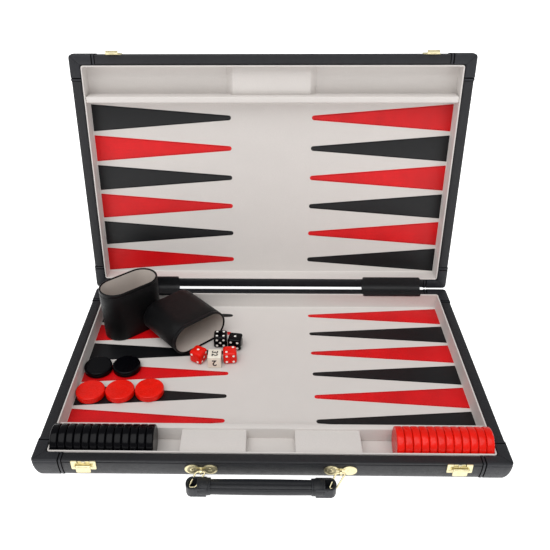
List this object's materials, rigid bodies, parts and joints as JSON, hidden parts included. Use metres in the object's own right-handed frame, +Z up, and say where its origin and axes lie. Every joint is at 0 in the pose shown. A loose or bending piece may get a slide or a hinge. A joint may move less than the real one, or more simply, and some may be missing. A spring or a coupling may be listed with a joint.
{
  "type": "backgammon case",
  "caption": "Folding attache-style backgammon case in black leatherette with felt-lined trays, checkers in troughs, dice, dice cups, latches and a carrying handle.",
  "frame": {"origin": "centre of the underside of the lower tray", "axes": "+X to the right along the hinge line, -Y towards the handle and latches, +Z up"},
  "size_m": [0.457, 0.371, 0.324],
  "materials": {
    "case_leatherette": "fine-grained black leatherette, semi-matt",
    "grip_leatherette": "padded black leatherette",
    "cup_leatherette": "fine-grained black leatherette",
    "cream_lining": "cream felt-like lining",
    "red_leatherette": "smooth red leatherette of the points",
    "black_leatherette": "smooth black leatherette of the points",
    "brass": "polished",
    "steel": "plain wire",
    "black_checker": "polished",
    "red_checker": "polished",
    "black_die": "polished, white pips",
    "red_die": "polished, white pips",
    "ivory": "satin, black numbers"
  },
  "bodies": {
    "base": {"base_shell": "case_leatherette", "base_lining": "cream_lining", "base_rail": "cream_lining", "hinge_leaf_base_left": "brass", "hinge_leaf_base_right": "brass", "hinge_pin_left": "steel", "hinge_pin_right": "steel", "latch_plate_left": "brass", "latch_plate_right": "brass", "handle_plate_left": "brass", "handle_plate_right": "brass"},
    "lid": {"lid_shell": "case_leatherette", "lid_lining": "cream_lining", "lid_rail": "cream_lining", "hinge_leaf_lid_left": "brass", "hinge_leaf_lid_right": "brass", "lid_catch_left": "brass", "lid_catch_right": "brass"},
    "latch_lever_left": {"latch_lever_left": "brass"},
    "latch_lever_right": {"latch_lever_right": "brass"},
    "handle": {"handle_grip": "grip_leatherette", "handle_ring_left": "brass", "handle_ring_right": "brass"},
    "checker_stack_black": {"checker_black_01": "black_checker", "checker_black_02": "black_checker", "checker_black_03": "black_checker", "checker_black_04": "black_checker", "checker_black_05": "black_checker", "checker_black_06": "black_checker", "checker_black_07": "black_checker", "checker_black_08": "black_checker", "checker_black_09": "black_checker", "checker_black_10": "black_checker", "checker_black_11": "black_checker", "checker_black_12": "black_checker", "checker_black_13": "black_checker"},
    "checker_stack_red": {"checker_red_01": "red_checker", "checker_red_02": "red_checker", "checker_red_03": "red_checker", "checker_red_04": "red_checker", "checker_red_05": "red_checker", "checker_red_06": "red_checker", "checker_red_07": "red_checker", "checker_red_08": "red_checker", "checker_red_09": "red_checker", "checker_red_10": "red_checker", "checker_red_11": "red_checker", "checker_red_12": "red_checker"},
    "checker_black_14": {"checker_black_14": "black_checker"},
    "checker_black_15": {"checker_black_15": "black_checker"},
    "checker_red_13": {"checker_red_13": "red_checker"},
    "checker_red_14": {"checker_red_14": "red_checker"},
    "checker_red_15": {"checker_red_15": "red_checker"},
    "die_black_1": {"die_black_1": "black_die"},
    "die_black_2": {"die_black_2": "black_die"},
    "die_red_1": {"die_red_1": "red_die"},
    "die_red_2": {"die_red_2": "red_die"},
    "doubling_cube": {"doubling_cube": "ivory"},
    "dice_cup_lying": {"dice_cup_lying": "cup_leatherette"},
    "dice_cup_standing": {"dice_cup_standing": "cup_leatherette"}
  },
  "joints": [
    {"name": "lid_hinge", "type": "hinge", "parent": "base", "child": "lid", "pos_m": [0, 0.1478, 0.0253], "axis": [-1, 0, 0], "range_deg": [-56, 84.2]},
    {"name": "latch_left", "type": "hinge", "parent": "base", "child": "latch_lever_left", "pos_m": [-0.1786, -0.1492, 0.0189], "axis": [-1, 0, 0], "range_deg": [0, 50]},
    {"name": "latch_right", "type": "hinge", "parent": "base", "child": "latch_lever_right", "pos_m": [0.1786, -0.1492, 0.0189], "axis": [-1, 0, 0], "range_deg": [0, 50]},
    {"name": "handle_swing", "type": "hinge", "parent": "base", "child": "handle", "pos_m": [0, -0.1505, 0.0146], "axis": [-1, 0, 0], "range_deg": [0, 85]},
    {"name": "lift_black_stack", "type": "slide", "parent": "base", "child": "checker_stack_black", "axis": [0, 0, 1], "range_m": [0, 0.06]},
    {"name": "lift_red_stack", "type": "slide", "parent": "base", "child": "checker_stack_red", "axis": [0, 0, 1], "range_m": [0, 0.06]},
    {"name": "lift_checker_black_14", "type": "slide", "parent": "base", "child": "checker_black_14", "axis": [0, 0, 1], "range_m": [0, 0.05]},
    {"name": "lift_checker_black_15", "type": "slide", "parent": "base", "child": "checker_black_15", "axis": [0, 0, 1], "range_m": [0, 0.05]},
    {"name": "lift_checker_red_13", "type": "slide", "parent": "base", "child": "checker_red_13", "axis": [0, 0, 1], "range_m": [0, 0.05]},
    {"name": "lift_checker_red_14", "type": "slide", "parent": "base", "child": "checker_red_14", "axis": [0, 0, 1], "range_m": [0, 0.05]},
    {"name": "lift_checker_red_15", "type": "slide", "parent": "base", "child": "checker_red_15", "axis": [0, 0, 1], "range_m": [0, 0.05]},
    {"name": "lift_die_black_1", "type": "slide", "parent": "base", "child": "die_black_1", "axis": [0, 0, 1], "range_m": [0, 0.05]},
    {"name": "lift_die_black_2", "type": "slide", "parent": "base", "child": "die_black_2", "axis": [0, 0, 1], "range_m": [0, 0.05]},
    {"name": "lift_die_red_1", "type": "slide", "parent": "base", "child": "die_red_1", "axis": [0, 0, 1], "range_m": [0, 0.05]},
    {"name": "lift_die_red_2", "type": "slide", "parent": "base", "child": "die_red_2", "axis": [0, 0, 1], "range_m": [0, 0.05]},
    {"name": "lift_doubling_cube", "type": "slide", "parent": "base", "child": "doubling_cube", "axis": [0, 0, 1], "range_m": [0, 0.05]},
    {"name": "lift_dice_cup_lying", "type": "slide", "parent": "base", "child": "dice_cup_lying", "axis": [0, 0, 1], "range_m": [0, 0.08]},
    {"name": "lift_dice_cup_standing", "type": "slide", "parent": "base", "child": "dice_cup_standing", "axis": [0, 0, 1], "range_m": [0, 0.08]}
  ]
}
